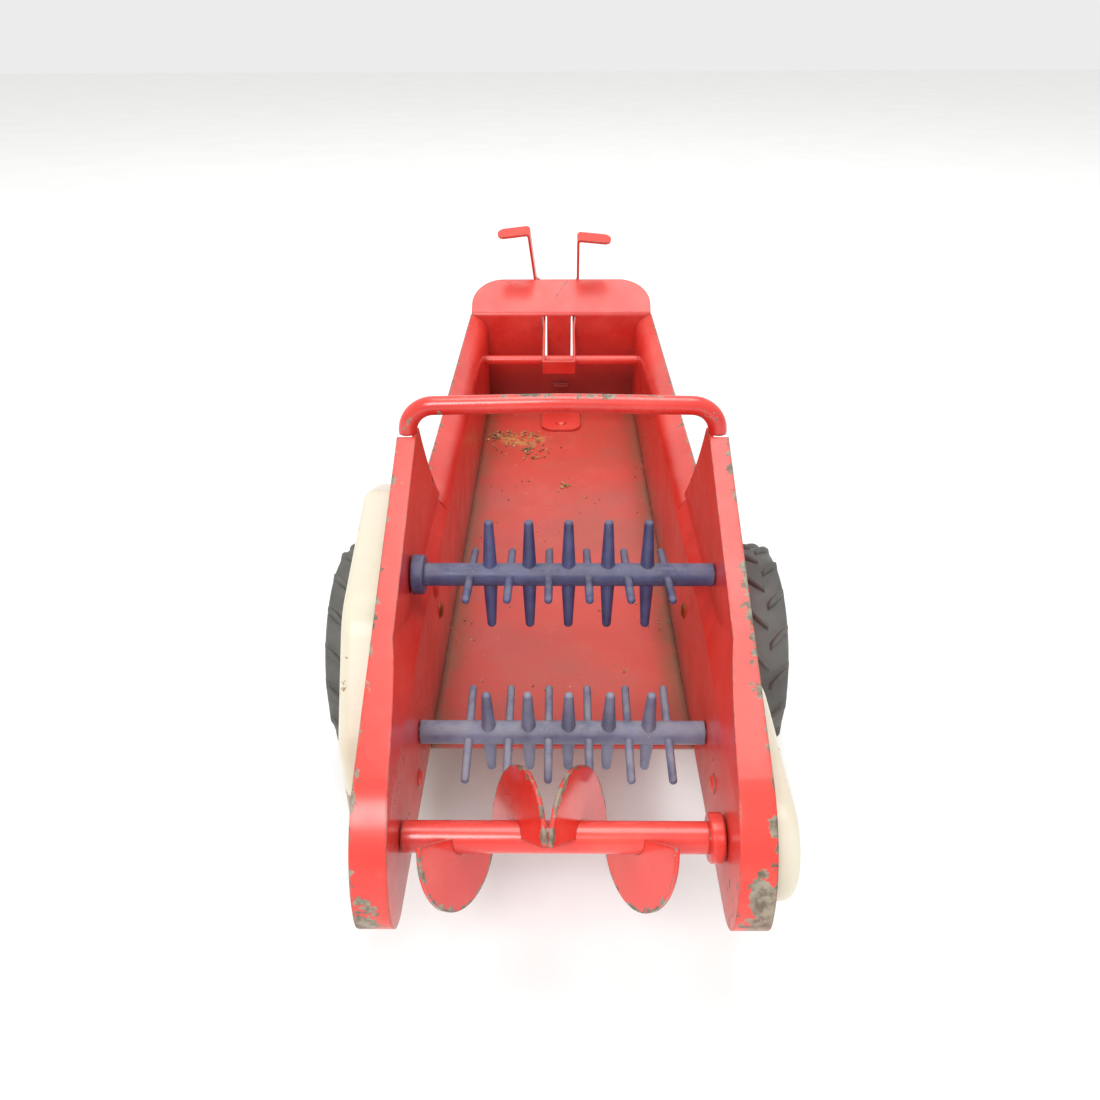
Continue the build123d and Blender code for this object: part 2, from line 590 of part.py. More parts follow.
with BuildPart() as auger_collar:
    disc(auger_half - AUGER_COLLAR_WIDTH, auger_half, AUGER_Y, AUGER_Z, AUGER_COLLAR_RADIUS)
    chamfer(auger_collar.edges().filter_by(GeomType.CIRCLE), 0.4)
    disc(-auger_half, auger_half, AUGER_Y, AUGER_Z, SHAFT_RADIUS, Mode.SUBTRACT)
save(auger_collar, "auger_collar")

roll = radians(FLIGHT_ROLL)
up_dir = Vector(0, sin(roll), cos(roll))
near_dir = Vector(0, -cos(roll), sin(roll))
with BuildPart() as auger_flights:
    for hand in (-1, 1):
        start = FLIGHT_MIDDLE + hand * 0.5
        for length, half_turn in ((INNER_FLIGHT, 1), (OUTER_FLIGHT, -1)):
            middle = Vector(start + hand * length / 2, AUGER_Y, AUGER_Z)
            # each half-ellipse leans along the tube, so that the plates follow one another as a thread
            slant = Vector(-hand * half_turn * length / 2, 0, 0) + near_dir * FLIGHT_RADIUS
            flight_plane = Plane(origin=middle, x_dir=slant, z_dir=slant.cross(up_dir))
            with BuildSketch(flight_plane):
                Ellipse(slant.length, FLIGHT_RADIUS)
                with Locations((0, -half_turn * FLIGHT_RADIUS)):
                    Rectangle(3 * FLIGHT_RADIUS, 2 * FLIGHT_RADIUS, mode=Mode.SUBTRACT)
            extrude(amount=FLIGHT_SHEET / 2, both=True)
            start += hand * length
    with BuildSketch(Plane.YZ.offset(-auger_half)):
        with Locations((AUGER_Y, AUGER_Z)):
            Circle(AUGER_TUBE_RADIUS)
    extrude(amount=2 * auger_half, mode=Mode.SUBTRACT)
save(auger_flights, "auger_flights")

# ================================================================ axle, wheels and caps
left_hub_out = LEFT_TYRE_OUT - DISH
right_hub_out = RIGHT_TYRE_OUT - DISH
axle_left = left_hub_out + CAP_LENGTH - CAP_END
axle_right = right_hub_out + CAP_LENGTH - CAP_END
rod("axle", -axle_left, axle_right, AXLE_Y, AXLE_Z, AXLE_RADIUS)

for name, side, tyre_out in (("left", -1, LEFT_TYRE_OUT), ("right", 1, RIGHT_TYRE_OUT)):
    out = side * tyre_out
    inner = side * (tyre_out - TYRE_WIDTH)
    hub_out = side * (tyre_out - DISH)
    hub_in = side * (tyre_out - DISH - HUB_LENGTH)
    web = side * (tyre_out - DISH - 2.4)
    with BuildPart() as rim:
        with BuildSketch(Plane.XY.offset(AXLE_Z)):
            with BuildLine():
                Polyline(
                    (hub_out, AXLE_Y + AXLE_RADIUS), (hub_out, AXLE_Y + HUB_RADIUS - 1),
                    (hub_out - side * 1.2, AXLE_Y + HUB_RADIUS), (web, AXLE_Y + HUB_RADIUS),
                    (web - side * 1.8, AXLE_Y + 10.5), (web - side * 0.4, AXLE_Y + RIM_RADIUS - 2.6),
                    (out - side * 1.4, AXLE_Y + RIM_RADIUS - 1.8),
                    (out - side * 1.0, AXLE_Y + RIM_RADIUS),
                    (inner + side * 1.0, AXLE_Y + RIM_RADIUS),
                    (inner + side * 1.4, AXLE_Y + RIM_RADIUS - 1.8),
                    (web - side * 2.4, AXLE_Y + RIM_RADIUS - 3.2), (web - side * 3.6, AXLE_Y + 10.0),
                    (web - side * 2.0, AXLE_Y + HUB_RADIUS), (hub_in, AXLE_Y + HUB_RADIUS),
                    (hub_in, AXLE_Y + AXLE_RADIUS),
                    close=True,
                )
            make_face()
        revolve(axis=Axis((0, AXLE_Y, AXLE_Z), (1, 0, 0)))
    save(rim, f"{name}_rim")
    with BuildPart() as tyre:
        with BuildSketch(Plane.XY.offset(AXLE_Z)):
            with BuildLine():
                bead_out = (out - side * 1.0, AXLE_Y + RIM_RADIUS)
                bead_in = (inner + side * 1.0, AXLE_Y + RIM_RADIUS)
                wall_out = (out, AXLE_Y + RIM_RADIUS + 4.5)
                wall_in = (inner, AXLE_Y + RIM_RADIUS + 4.5)
                tread_out = (out - side * 1.6, AXLE_Y + WHEEL_RADIUS - 1.2)
                tread_in = (inner + side * 1.6, AXLE_Y + WHEEL_RADIUS - 1.2)
                middle = ((out + inner) / 2, AXLE_Y + WHEEL_RADIUS)
                Line(bead_in, bead_out)
                Line(bead_out, wall_out)
                Line(wall_out, tread_out)
                ThreePointArc(tread_out, middle, tread_in)
                Line(tread_in, wall_in)
                Line(wall_in, bead_in)
            make_face()
        revolve(axis=Axis((0, AXLE_Y, AXLE_Z), (1, 0, 0)))
        fillet(tyre.edges().filter_by(GeomType.CIRCLE).filter_by(
            lambda e: RIM_RADIUS + 4 < e.radius < RIM_RADIUS + 5), 1.5)
    save(tyre, f"{name}_tyre")

with BuildPart() as axle_caps:
    for side, hub in ((-1, left_hub_out), (1, right_hub_out)):
        disc(side * hub, side * (hub + CAP_LENGTH), AXLE_Y, AXLE_Z, CAP_RADIUS)
    cap_faces = axle_caps.faces().sort_by(Axis.X)
    fillet(cap_faces[0].edges() + cap_faces[-1].edges(), 1.2)
    disc(-axle_left, axle_right, AXLE_Y, AXLE_Z, AXLE_RADIUS, Mode.SUBTRACT)
save(axle_caps, "axle_caps")

# ================================================================ axle plates on the walls
for name, side in (("left", -1), ("right", 1)):
    with BuildPart() as axle_plate:
        with BuildSketch(Plane.YZ.offset(side * WALL_OUT)):
            with Locations((AXLE_Y, AXLE_Z)):
                Circle(PLATE_BOSS)
            with Locations((AXLE_Y + 0.5, LOWER_Z + 8.5)):
                RectangleRounded(32, 15, 3)
            make_hull()
            with Locations((AXLE_Y, AXLE_Z)):
                Circle(AXLE_RADIUS + RUNNING, mode=Mode.SUBTRACT)
            with Locations(*rear([AXLE_RIVET])):
                Circle(RIVET_RADIUS + RIVET_GAP, mode=Mode.SUBTRACT)
        extrude(amount=side * SHEET)
    save(axle_plate, f"{name}_axle_plate")

with BuildPart() as axle_plate_rivets:
    for side in (-1, 1):
        rivet(side * HALF_WIDTH, side * (WALL_OUT + SHEET), *rear([AXLE_RIVET])[0])
save(axle_plate_rivets, "axle_plate_rivets")


# ================================================================ pulleys and belts
def pulley(label, y, z, radius, bore, grooves):
    """A flat pulley with one square groove round each of the given X positions."""
    first = min(grooves) - PULLEY_WIDTH / 2
    last = max(grooves) + PULLEY_WIDTH / 2
    with BuildPart() as piece:
        disc(first, last, y, z, radius)
        for x in grooves:
            with BuildSketch(Plane.YZ.offset(x - GROOVE_WIDTH / 2)):
                with Locations((y, z)):
                    Circle(radius + 1)
                    Circle(radius - GROOVE_DEPTH, mode=Mode.SUBTRACT)
            extrude(amount=GROOVE_WIDTH, mode=Mode.SUBTRACT)
        disc(first, last, y, z, bore, Mode.SUBTRACT)
    save(piece, label)


def belt(label, x, ends):
    """A belt round two pulleys, given as (y, z, pulley radius)."""
    inner = [(y, z, radius - GROOVE_DEPTH + BELT_GAP) for y, z, radius in ends]
    with BuildPart() as piece:
        for extra, mode in ((BELT_THICK, Mode.ADD), (0, Mode.SUBTRACT)):
            with BuildSketch(Plane.YZ.offset(x - BELT_WIDTH / 2)):
                for y, z, radius in inner:
                    with Locations((y, z)):
                        Circle(radius + extra)
                make_hull()
            extrude(amount=BELT_WIDTH, mode=mode)
    save(piece, label)


lower = (LOWER_Y, LOWER_Z, SMALL_PULLEY)
upper = (UPPER_Y, UPPER_Z, SMALL_PULLEY)
auger = (AUGER_Y, AUGER_Z, SMALL_PULLEY)
wheels = (AXLE_Y, AXLE_Z, AXLE_PULLEY)
pulley("axle_pulley", *wheels, AXLE_RADIUS, [-DRIVE_X])
pulley("lower_beater_drive_pulley", *lower, SHAFT_RADIUS, [-DRIVE_X, -RELAY_X])
pulley("upper_beater_pulley", *upper, SHAFT_RADIUS, [-RELAY_X])
pulley("lower_beater_auger_pulley", *lower, SHAFT_RADIUS, [RIGHT_BELT_X])
pulley("auger_pulley", *auger, SHAFT_RADIUS, [RIGHT_BELT_X])
belt("wheel_belt", -DRIVE_X, [wheels, lower])
belt("beater_belt", -RELAY_X, [lower, upper])
belt("auger_belt", RIGHT_BELT_X, [lower, auger])

# ================================================================ shields and their rivets
with BuildPart() as left_shield:
    with BuildSketch(Plane.YZ.offset(-LEFT_SHIELD_OUT)):
        with BuildLine():
            FilletPolyline(*rear(LEFT_OUTLINE), radius=LEFT_CORNERS, close=True)
        make_face()
    extrude(amount=LEFT_SHIELD_OUT - EXT_OUT - SHIELD_GAP)
    faces = left_shield.faces().sort_by(Axis.X)
    fillet(faces[0].edges(), 2.6)
    offset(amount=-SHIELD_SHEET, openings=left_shield.faces().sort_by(Axis.X)[-1])
    with BuildSketch(Plane.YZ.offset(-LEFT_SHIELD_OUT)):
        with Locations((AXLE_Y, AXLE_Z)):
            Circle(AXLE_RADIUS + 1.0)
        with Locations(*rear(LEFT_POSTS)):
            Circle(RIVET_RADIUS + RIVET_GAP)
    extrude(amount=2 * SHIELD_SHEET, mode=Mode.SUBTRACT)
save(left_shield, "left_shield")

with BuildPart() as right_shield:
    with BuildSketch(Plane.YZ.offset(RIGHT_SHIELD_OUT)):
        with Locations((AUGER_Y, AUGER_Z)):
            Circle(RIGHT_REAR_RADIUS)
        with Locations((LOWER_Y, LOWER_Z)):
            Circle(RIGHT_FRONT_RADIUS)
        make_hull()
    extrude(amount=-(RIGHT_SHIELD_OUT - EXT_OUT - SHIELD_GAP))
    fillet(right_shield.faces().sort_by(Axis.X)[-1].edges(), 2.6)
    offset(amount=-SHIELD_SHEET, openings=right_shield.faces().sort_by(Axis.X)[0])
    with BuildSketch(Plane.YZ.offset(RIGHT_SHIELD_OUT)):
        with Locations(*rear(RIGHT_POSTS)):
            Circle(RIVET_RADIUS + RIVET_GAP)
    extrude(amount=-2 * SHIELD_SHEET, mode=Mode.SUBTRACT)
save(right_shield, "right_shield")

with BuildPart() as left_shield_rivets:
    for y, z in rear(LEFT_POSTS):
        rivet(-LEFT_SHIELD_OUT, -HALF_WIDTH, y, z)
save(left_shield_rivets, "left_shield_rivets")

with BuildPart() as right_shield_rivet:
    rivet(HALF_WIDTH, RIGHT_SHIELD_OUT, *rear(RIGHT_POSTS)[0])
save(right_shield_rivet, "right_shield_rivet")
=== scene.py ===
import math
import random

import bpy
import bmesh
from mathutils import Matrix, Vector


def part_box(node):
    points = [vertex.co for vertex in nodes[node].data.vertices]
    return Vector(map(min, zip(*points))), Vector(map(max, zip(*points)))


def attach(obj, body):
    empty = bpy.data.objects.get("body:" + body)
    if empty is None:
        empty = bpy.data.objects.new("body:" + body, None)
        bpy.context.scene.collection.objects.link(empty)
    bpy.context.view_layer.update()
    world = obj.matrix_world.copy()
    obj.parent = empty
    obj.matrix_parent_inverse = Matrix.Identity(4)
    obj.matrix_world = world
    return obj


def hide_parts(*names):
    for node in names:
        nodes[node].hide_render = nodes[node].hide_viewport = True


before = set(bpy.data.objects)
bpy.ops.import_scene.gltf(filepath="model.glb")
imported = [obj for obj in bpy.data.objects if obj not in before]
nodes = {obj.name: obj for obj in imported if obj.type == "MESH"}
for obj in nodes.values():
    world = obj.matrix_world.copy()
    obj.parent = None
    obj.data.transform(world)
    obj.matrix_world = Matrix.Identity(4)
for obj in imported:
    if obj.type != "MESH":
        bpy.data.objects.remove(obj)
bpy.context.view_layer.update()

MM = 0.001

# places on the toy, in metres
FLANGE_EDGE_X = 0.0393      # outer edge of the rear flanges
AUGER_Y, AUGER_Z = -0.15845, 0.0466
FLIGHT_RADIUS = 0.0141
CRACK_X, CRACK_Y = 0.0035, 0.1228   # top of the crack in the sloping board
CRACK_SLANT = -0.75

# ------------------------------------------------------------------ camera
CAMERA_AT = (-0.00076, -0.28294, 0.18941)
YAW, PITCH, ROLL = -0.01184, 0.54557, -0.00505
LENS = 29.502
SENSOR = 36.0


def look_matrix(position, yaw, pitch, roll):
    """A camera's matrix from its place and its angles in radians; pitch is downward."""
    level = math.cos(pitch)
    ahead = Vector((math.sin(yaw) * level, math.cos(yaw) * level, -math.sin(pitch)))
    right = Vector((math.cos(yaw), -math.sin(yaw), 0))
    up = right.cross(ahead)
    c, s = math.cos(roll), math.sin(roll)
    x_axis = right * c + up * s
    y_axis = up * c - right * s
    m = Matrix((x_axis, y_axis, -ahead)).transposed().to_4x4()
    m.translation = Vector(position)
    return m


camera_data = bpy.data.cameras.new("camera")
camera_data.lens = LENS
camera_data.sensor_width = SENSOR
camera_data.clip_start = 0.01
camera = bpy.data.objects.new("camera", camera_data)
camera.matrix_world = look_matrix(CAMERA_AT, YAW, PITCH, ROLL)
bpy.context.scene.collection.objects.link(camera)
bpy.context.scene.camera = camera


# ------------------------------------------------------------------ material building
class Graph:
    """A material's node tree, with one short call per kind of node."""

    def __init__(self, name):
        self.material = bpy.data.materials.new(name)
        self.material.use_nodes = True
        self.tree = self.material.node_tree
        self.tree.nodes.clear()
        self.out = self.tree.nodes.new("ShaderNodeOutputMaterial")
        self.shader = self.tree.nodes.new("ShaderNodeBsdfPrincipled")
        self.tree.links.new(self.shader.outputs[0], self.out.inputs[0])
        coord = self.tree.nodes.new("ShaderNodeTexCoord")
        self.place = coord.outputs["Object"]
        self.normal = coord.outputs["Normal"]

    def put(self, socket, value):
        """Link a socket to an input, or set the input to a plain value."""
        if isinstance(value, bpy.types.NodeSocket):
            self.tree.links.new(value, socket)
        else:
            socket.default_value = value

    def node(self, kind, **inputs):
        n = self.tree.nodes.new(kind)
        for key, value in inputs.items():
            self.put(n.inputs[key], value)
        return n

    def math(self, operation, a, b=0.0):
        n = self.tree.nodes.new("ShaderNodeMath")
        n.operation = operation
        self.put(n.inputs[0], a)
        self.put(n.inputs[1], b)
        return n.outputs[0]

    def vector_math(self, operation, a, b=None):
        """The outputs of a vector operation: Vector, or Value for a length or a dot product."""
        n = self.tree.nodes.new("ShaderNodeVectorMath")
        n.operation = operation
        self.put(n.inputs[0], a)
        if b is not None:
            self.put(n.inputs[1], b)
        return n.outputs

    def ramp(self, value, low, high, to_low=0.0, to_high=1.0):
        """A smooth step from to_low at low to to_high at high; low may be the larger one."""
        n = self.tree.nodes.new("ShaderNodeMapRange")
        n.interpolation_type = "SMOOTHSTEP"
        limits = (("From Min", low), ("From Max", high), ("To Min", to_low), ("To Max", to_high))
        for key, v in (("Value", value), *limits):
            self.put(n.inputs[key], v)
        return n.outputs[0]

    def mix(self, amount, a, b):
        """Colour a where amount is 0 and colour b where it is 1."""
        n = self.tree.nodes.new("ShaderNodeMix")
        n.data_type = "RGBA"
        self.put(n.inputs[0], amount)
        self.put(n.inputs[6], a if isinstance(a, bpy.types.NodeSocket) else (*a, 1.0))
        self.put(n.inputs[7], b if isinstance(b, bpy.types.NodeSocket) else (*b, 1.0))
        return n.outputs[2]

    def noise(self, scale, detail, rough, stretch=None, offset=0.0):
        """Noise around 0.5 over the object's own places."""
        vector = self.place
        if stretch or offset:
            mapping = self.node("ShaderNodeMapping", Vector=vector)
            mapping.inputs["Scale"].default_value = stretch or (1, 1, 1)
            mapping.inputs["Location"].default_value = (offset, offset * 0.7, -offset)
            vector = mapping.outputs[0]
        n = self.node("ShaderNodeTexNoise", Vector=vector)
        n.inputs["Scale"].default_value = scale
        n.inputs["Detail"].default_value = detail
        n.inputs["Roughness"].default_value = rough
        return n.outputs["Fac"]

    def axes(self, vector=None):
        """The x, y and z of a vector, or of the place on the object."""
        n = self.node("ShaderNodeSeparateXYZ", Vector=self.place if vector is None else vector)
        return n.outputs

    def near(self, point, inner, outer, mirrored=False, squeeze=(1, 1, 1)):
        """1 within inner of a point, falling to 0 at outer; mirrored takes |x|."""
        vector = self.place
        if mirrored:
            x, y, z = self.axes()
            vector = self.node("ShaderNodeCombineXYZ", X=self.math("ABSOLUTE", x), Y=y, Z=z).outputs[0]
        shifted = self.vector_math("SUBTRACT", vector, point)["Vector"]
        scaled = self.vector_math("MULTIPLY", shifted, squeeze)["Vector"]
        return self.ramp(self.vector_math("LENGTH", scaled)["Value"], outer, inner)

    def edge(self, radius, low, high):
        """1 on edges narrower than radius, 0 on flats."""
        true_normal = self.tree.nodes.new("ShaderNodeNewGeometry").outputs["Normal"]
        agreement = self.vector_math("DOT_PRODUCT", self.rounded(radius), true_normal)["Value"]
        return self.ramp(self.math("SUBTRACT", 1.0, agreement), low, high)

    def hollow(self, distance, low, high):
        """1 deep in corners, 0 on open faces."""
        ao = self.tree.nodes.new("ShaderNodeAmbientOcclusion")
        ao.samples = 6
        ao.inputs["Distance"].default_value = distance
        return self.ramp(ao.outputs["AO"], high, low)

    def bump(self, height, strength, distance, base=None):
        n = self.node("ShaderNodeBump", Height=height)
        n.inputs["Strength"].default_value = strength
        n.inputs["Distance"].default_value = distance
        if base is not None:
            self.put(n.inputs["Normal"], base)
        return n.outputs[0]

    def rounded(self, radius):
        """A surface direction that is rounded off near edges."""
        n = self.tree.nodes.new("ShaderNodeBevel")
        n.samples = 4
        n.inputs["Radius"].default_value = radius
        return n.outputs[0]

    def finish(self, **inputs):
        """Set the shader's inputs, with an underscore for each space in their names."""
        for key, value in inputs.items():
            self.put(self.shader.inputs[key.replace("_", " ")], value)
        return self.material


GRIME = (0.16, 0.10, 0.06)
ROUNDING = 0.0008           # radius of the shading on every enamelled edge
BARE_DARK = (0.120, 0.085, 0.055)
BARE_LIGHT = (0.30, 0.26, 0.19)
RED = (0.74, 0.034, 0.021)
RED_DEEP = (0.58, 0.020, 0.014)
RED_FADED_AND_SHEEN = (0.80, 0.110, 0.075)


def enamel(
    name, light, deep, faded_and_sheen, wear, zones=(), dust=0.25, speck=0.5, extra=None, gloss=0.0,
    painted_shade_colour=(0.40, 0.010, 0.008),
):
    """Old enamel: faded and deep areas, worn edges, chips in the given zones, grime in corners, painted
    sheen on faces that look up and painted shade in hollows.

    zones holds (mask, amount) pairs, and extra(g, colour) returns a colour with more marks on it.
    """
    g = Graph(name)
    big = g.noise(18, 3, 0.6)
    fine = g.noise(420, 4, 0.6)
    colour = g.mix(g.ramp(big, 0.35, 0.7), deep, light)
    up = g.ramp(g.axes(g.normal)[2], 0.2, 1.0)
    blotches = g.ramp(g.noise(60, 4, 0.7), 0.45, 0.75)
    colour = g.mix(g.math("MULTIPLY", blotches, 0.35), colour, faded_and_sheen)
    # painted sheen: faces that look up are mixed towards the faded colour, lighter as if they catch the
    # light
    colour = g.mix(g.math("MULTIPLY", up, 0.25), colour, faded_and_sheen)
    # dust and grime in corners, and painted shade: the colour darkens where little light gets in
    grime = g.math("MULTIPLY", g.hollow(0.006, 0.35, 0.95), g.ramp(g.noise(90, 5, 0.65), 0.35, 0.7))
    colour = g.mix(g.math("MULTIPLY", grime, dust), colour, GRIME)
    shade = g.math("MULTIPLY", g.hollow(0.020, 0.30, 0.95), 0.28)
    colour = g.mix(shade, colour, painted_shade_colour)
    # scratches: thin stretched noise
    scratch = g.ramp(g.noise(130, 2, 0.4, stretch=(9, 0.6, 5)), 0.70, 0.76)
    colour = g.mix(g.math("MULTIPLY", scratch, 0.25), colour, faded_and_sheen)
    # chips along edges and in the zones
    edge = g.edge(0.0009, 0.02, 0.30)
    patch = g.noise(75, 6, 0.72)
    along = g.ramp(g.math("ADD", patch, g.math("MULTIPLY", edge, 0.20 * wear)), 0.66, 0.685)
    chips = g.math("MULTIPLY", along, g.ramp(edge, 0.10, 0.3))
    for mask, amount in zones:
        area = mask(g)
        raised = g.math("ADD", g.noise(260, 5, 0.65, offset=3.1), g.math("MULTIPLY", area, amount))
        zone = g.ramp(raised, 0.70, 0.72)
        chips = g.math("MAXIMUM", chips, g.math("MULTIPLY", zone, g.ramp(area, 0.02, 0.1)))
    spots = g.ramp(g.noise(520, 2, 0.5, offset=1.7), 0.765, 0.785)
    chips = g.math("MAXIMUM", chips, g.math("MULTIPLY", spots, speck))
    bare = g.mix(g.ramp(g.noise(500, 4, 0.6), 0.35, 0.65), BARE_DARK, BARE_LIGHT)
    colour = g.mix(chips, colour, bare)
    if extra:
        colour = extra(g, colour)
    rough = g.ramp(g.noise(45, 4, 0.6), 0.3, 0.7, 0.26 - gloss, 0.42 - gloss)
    rough = g.math("MAXIMUM", rough, g.math("MULTIPLY", chips, 0.62))
    rough = g.math("MAXIMUM", rough, g.math("MULTIPLY", grime, 0.7))
    normal = g.bump(chips, 0.35, -0.00012, g.rounded(ROUNDING))
    normal = g.bump(fine, 0.05, 0.00006, normal)
    normal = g.bump(g.noise(38, 2, 0.5), 0.12, 0.0006, normal)
    return g.finish(
        Base_Color=colour, Roughness=rough, Normal=normal, Metallic=0.0, Specular_IOR_Level=0.5,
        Coat_Weight=0.25 + 1.5 * gloss, Coat_Roughness=0.18 - 0.6 * gloss,
    )


# ------------------------------------------------------------------ wear zones, in metres
def outer_rim(g):
    """The outer edge of the side flanges and of the rear flange."""
    x = g.math("ABSOLUTE", g.axes()[0])
    return g.ramp(x, FLANGE_EDGE_X - 0.0025, FLANGE_EDGE_X)


def right_tip(g):
    return g.near((0.0385, -0.172, 0.045), 0.002, 0.017, squeeze=(1.6, 1, 0.8))


def left_tip(g):
    return g.near((-0.0385, -0.1735, 0.040), 0.001, 0.012, squeeze=(1.5, 1, 0.8))


def right_rim_lower(g):
    """The stretch of the right rear flange that is chipped most."""
    reach = g.near((FLANGE_EDGE_X, -0.1300, 0.0770), 0.012, 0.034)
    return g.math("MULTIPLY", reach, g.ramp(g.axes()[0], FLANGE_EDGE_X - 0.0038, FLANGE_EDGE_X))


def arch_top(g):
    return g.ramp(g.axes()[2], 0.1095, 0.1113)


def arch_shoulders(g):
    return g.near((0.034, -0.0838, 0.1095), 0.003, 0.014, mirrored=True)


def flight_rim(g):
    """The outer edge of the auger's flights, seen from its own axis."""
    axis = g.axes()
    y = g.math("ADD", axis[1], -AUGER_Y)
    z = g.math("SUBTRACT", axis[2], AUGER_Z)
    radius = g.math("SQRT", g.math("ADD", g.math("MULTIPLY", y, y), g.math("MULTIPLY", z, z)))
    return g.ramp(radius, FLIGHT_RADIUS - 0.0017, FLIGHT_RADIUS)


def wall_film(g, colour):
    """A brown film low on the box walls, inside and out, with small flecks of dirt."""
    z = g.axes()[2]
    patches = g.ramp(g.noise(48, 5, 0.7, offset=6.0), 0.30, 0.65)
    film = g.math("MULTIPLY", g.ramp(z, 0.052, 0.034), patches)
    colour = g.mix(g.math("MULTIPLY", film, 0.55), colour, (0.30, 0.085, 0.050))
    flecks = g.ramp(g.noise(640, 2, 0.5, offset=9.0), 0.735, 0.77)
    return g.mix(g.math("MULTIPLY", flecks, 0.8), colour, (0.20, 0.10, 0.06))


PANEL_WEAR = ((outer_rim, 0.19), (right_rim_lower, 0.24), (right_tip, 0.32), (left_tip, 0.30))
ARCH_WEAR = ((arch_top, 0.22), (arch_shoulders, 0.10))
red_panel = enamel("red_panel", RED, RED_DEEP, RED_FADED_AND_SHEEN, 1.0, PANEL_WEAR, extra=wall_film)
red_arch = enamel("red_arch", RED, RED_DEEP, RED_FADED_AND_SHEEN, 0.6, ARCH_WEAR, dust=0.15, gloss=0.12)
red_auger = enamel(
    "red_auger", (0.78, 0.034, 0.022), (0.64, 0.022, 0.015), RED_FADED_AND_SHEEN, 0.9, ((flight_rim, 0.22),),
    dust=0.2, gloss=0.12,
)
red_parts = enamel("red_parts", RED, RED_DEEP, RED_FADED_AND_SHEEN, 0.8, dust=0.35)


def crack_and_foot_shade(g, colour):
    """A fine crack down from the board's top edge, a few dark flecks, and painted shade towards the
    bottom of the board.
    """
    x, y, z = g.axes()
    wander = g.math("MULTIPLY", g.math("SUBTRACT", g.noise(70, 4, 0.7), 0.5), 0.004)
    line = g.math("ADD", x, g.math("MULTIPLY", g.math("SUBTRACT", y, CRACK_Y), CRACK_SLANT))
    line = g.math("ABSOLUTE", g.math("ADD", g.math("SUBTRACT", line, CRACK_X), wander))
    line = g.ramp(line, 0.00042, 0.00012)
    span = g.math("MULTIPLY", g.ramp(y, 0.1135, 0.1150), g.ramp(g.noise(900, 2, 0.5), 0.38, 0.5))
    colour = g.mix(g.math("MULTIPLY", line, span), colour, (0.06, 0.02, 0.015))
    # painted shade: the red darkens towards the foot of the panel
    foot = g.math("MULTIPLY", g.ramp(z, 0.067, 0.036), g.ramp(y, 0.1085, 0.1075))
    return g.mix(g.math("MULTIPLY", foot, 0.72), colour, (0.13, 0.010, 0.008))


# painted shade: the front board's reds are set darker than the other reds
red_front_shaded = enamel(
    "red_front_shaded", (0.66, 0.026, 0.016), (0.50, 0.016, 0.011), RED_FADED_AND_SHEEN, 0.7, dust=0.3, extra=crack_and_foot_shade,
)


def floor_dirt(g, colour):
    """Brown bands along the walls, a straw-coloured stain at the front left and scattered crumbs."""
    side = g.math("ABSOLUTE", g.axes()[0])
    band = g.math("MULTIPLY", g.ramp(side, 0.0240, 0.0318), g.ramp(g.noise(55, 5, 0.7), 0.25, 0.6))
    colour = g.mix(g.math("MULTIPLY", band, 0.80), colour, (0.23, 0.120, 0.060))
    broken = g.ramp(g.noise(120, 5, 0.7, offset=4.0), 0.3, 0.5)
    seam = g.math("MULTIPLY", g.ramp(side, 0.0304, 0.0320), broken)
    colour = g.mix(g.math("MULTIPLY", seam, 0.75), colour, (0.10, 0.055, 0.030))
    film = g.math("MULTIPLY", g.ramp(g.noise(26, 5, 0.65, offset=5.0), 0.40, 0.72), 0.5)
    colour = g.mix(film, colour, (0.34, 0.10, 0.07))
    stain = g.near((-0.016, 0.061, 0.034), 0.004, 0.017, squeeze=(0.8, 1.5, 1))
    stain = g.ramp(g.math("ADD", g.noise(230, 5, 0.8), g.math("MULTIPLY", stain, 0.24)), 0.66, 0.78)
    colour = g.mix(g.math("MULTIPLY", stain, 0.8), colour, (0.50, 0.30, 0.09))
    crumbs = g.ramp(g.noise(700, 2, 0.5, offset=8.0), 0.74, 0.77)
    return g.mix(crumbs, colour, (0.55, 0.42, 0.24))


red_floor = enamel(
    "red_floor", (0.62, 0.048, 0.030), (0.50, 0.034, 0.024), (0.64, 0.115, 0.075), 0.5, dust=0.5,
    extra=floor_dirt,
)


def cream_stain(g, colour):
    film = g.math("MULTIPLY", g.ramp(g.noise(30, 4, 0.6, offset=2.0), 0.45, 0.75), 0.35)
    colour = g.mix(film, colour, (0.55, 0.46, 0.30))
    # the left shield's lower rear corner is rubbed bare
    bare = g.near((-0.0470, -0.1420, 0.0345), 0.002, 0.011, squeeze=(0.8, 1.4, 0.8))
    bare = g.ramp(g.math("ADD", g.noise(210, 5, 0.7), g.math("MULTIPLY", bare, 0.42)), 0.64, 0.68)
    return g.mix(bare, colour, (0.30, 0.20, 0.125))


CREAM = (0.66, 0.615, 0.49)
cream = enamel(
    "cream_enamel_old", CREAM, (0.60, 0.545, 0.40), (0.70, 0.665, 0.56), 0.8, dust=0.35, speck=1.0,
    extra=cream_stain, painted_shade_colour=(0.60, 0.52, 0.38),
)


